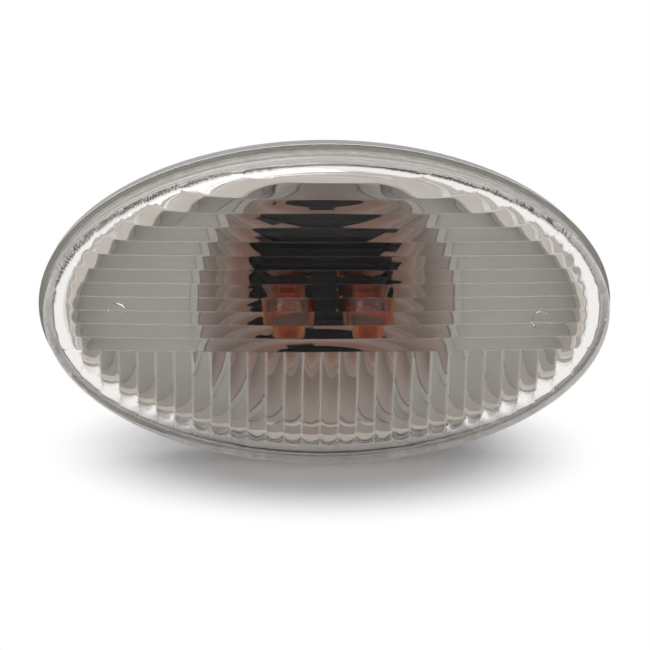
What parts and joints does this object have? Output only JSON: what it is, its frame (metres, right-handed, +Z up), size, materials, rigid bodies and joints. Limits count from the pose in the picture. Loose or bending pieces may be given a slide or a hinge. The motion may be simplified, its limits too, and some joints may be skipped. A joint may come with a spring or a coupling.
{
  "type": "fender lamp",
  "caption": "Oval side lamp for a car fender: clear fluted lens on a grey housing, amber wedge bulbs in a black quarter-turn holder.",
  "frame": {"origin": "on the lamp's axis, in the plane where the foam gasket meets the fender", "axes": "+X to the right along the oval, +Y inwards through the fender, +Z up; the lens faces -Y"},
  "size_m": [0.108, 0.0654, 0.0612],
  "materials": {
    "lens": "clear moulded acrylic, polished outside, fluted inside",
    "housing": "light grey moulded ABS",
    "sealant": "cured lens sealant",
    "foam": "closed-cell foam",
    "holder": "black glass-filled polyamide",
    "seal": "moulded EPDM",
    "terminal": "stamped strip",
    "amber_glass": "amber dipped glass",
    "filament": "tungsten coil",
    "lead": "drawn wire",
    "bead": "fused clear glass"
  },
  "bodies": {
    "root": {"lens": "lens", "housing": "housing", "lens_sealant": "sealant", "fender_gasket": "foam", "bulb_holder": "holder", "holder_seal": "seal", "feed_terminal": "terminal", "earth_terminal": "terminal", "bulb_glass_left": "amber_glass", "filament_left": "filament", "lead_feed_left": "lead", "lead_earth_left": "lead", "bead_left": "bead", "bulb_glass_right": "amber_glass", "filament_right": "filament", "lead_feed_right": "lead", "lead_earth_right": "lead", "bead_right": "bead"}
  },
  "joints": []
}
